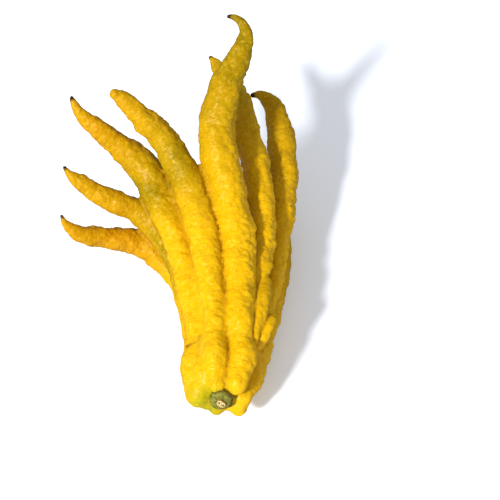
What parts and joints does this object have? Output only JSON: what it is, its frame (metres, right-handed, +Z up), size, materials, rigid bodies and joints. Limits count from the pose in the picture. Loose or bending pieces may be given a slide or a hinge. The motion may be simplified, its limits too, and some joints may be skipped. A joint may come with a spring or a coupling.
{
  "type": "buddhas hand citron fruit",
  "caption": "Whole yellow fingered citron, lying on its side with its fingers spread, with a green calyx button and a cut stalk stub.",
  "frame": {"origin": "middle of the footprint, on the surface the fruit lies on", "axes": "+Z up; +Y from the stem end towards the fingertips, the fruit's longest extent; +X to the right seen from the stem end"},
  "size_m": [0.1224, 0.1998, 0.1197],
  "materials": {
    "rind": "waxy golden yellow citrus rind with knobs, cross wrinkles and fine oil pores; orange towards some fingertips, olive green streaks, near black at the very tips",
    "calyx": "dull green fibrous button with a brown corky rim",
    "stalk": "pale dry cut wood with darker pith"
  },
  "bodies": {
    "root": {"fruit": "rind", "calyx": "calyx", "stalk": "stalk"}
  },
  "joints": []
}
